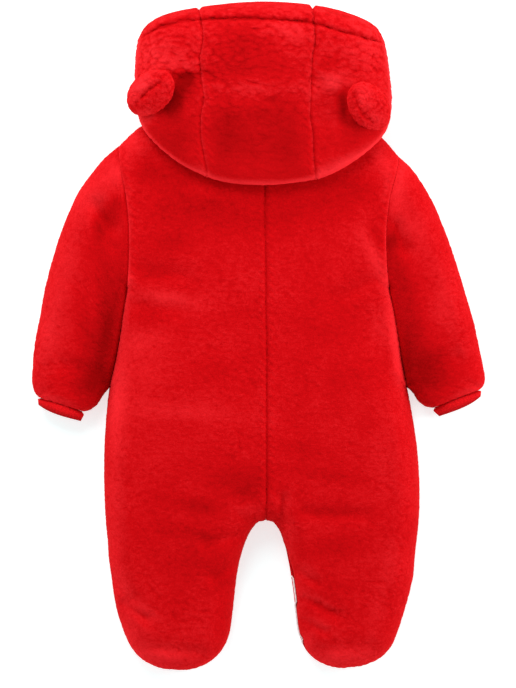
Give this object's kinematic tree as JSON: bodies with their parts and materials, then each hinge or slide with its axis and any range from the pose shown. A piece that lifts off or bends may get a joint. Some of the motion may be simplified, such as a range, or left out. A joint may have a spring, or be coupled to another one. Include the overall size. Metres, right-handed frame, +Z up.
{
  "type": "baby onesie pajama with hood",
  "caption": "Hooded plush romper for a baby with bear ears, long cuffed sleeves and closed feet, laid flat on its front with its back up.",
  "frame": {"origin": "on the surface the romper lies on, under the middle of its bounding box", "axes": "+X to the right seen from above with the hood at the top, +Y from the feet to the hood, +Z up out of the back"},
  "size_m": [0.498, 0.734, 0.0782],
  "materials": {
    "plush": "brushed coral fleece",
    "cuff": "soft knit",
    "tape": "woven tape"
  },
  "bodies": {
    "root": {"back_left": "plush", "back_right": "plush", "front_left": "plush", "front_right": "plush", "sleeve_left": "plush", "sleeve_right": "plush", "hood_left": "plush", "hood_centre": "plush", "hood_right": "plush", "ear_left": "plush", "ear_right": "plush", "cuff_left": "cuff", "cuff_right": "cuff", "placket_tape": "tape"}
  },
  "joints": []
}
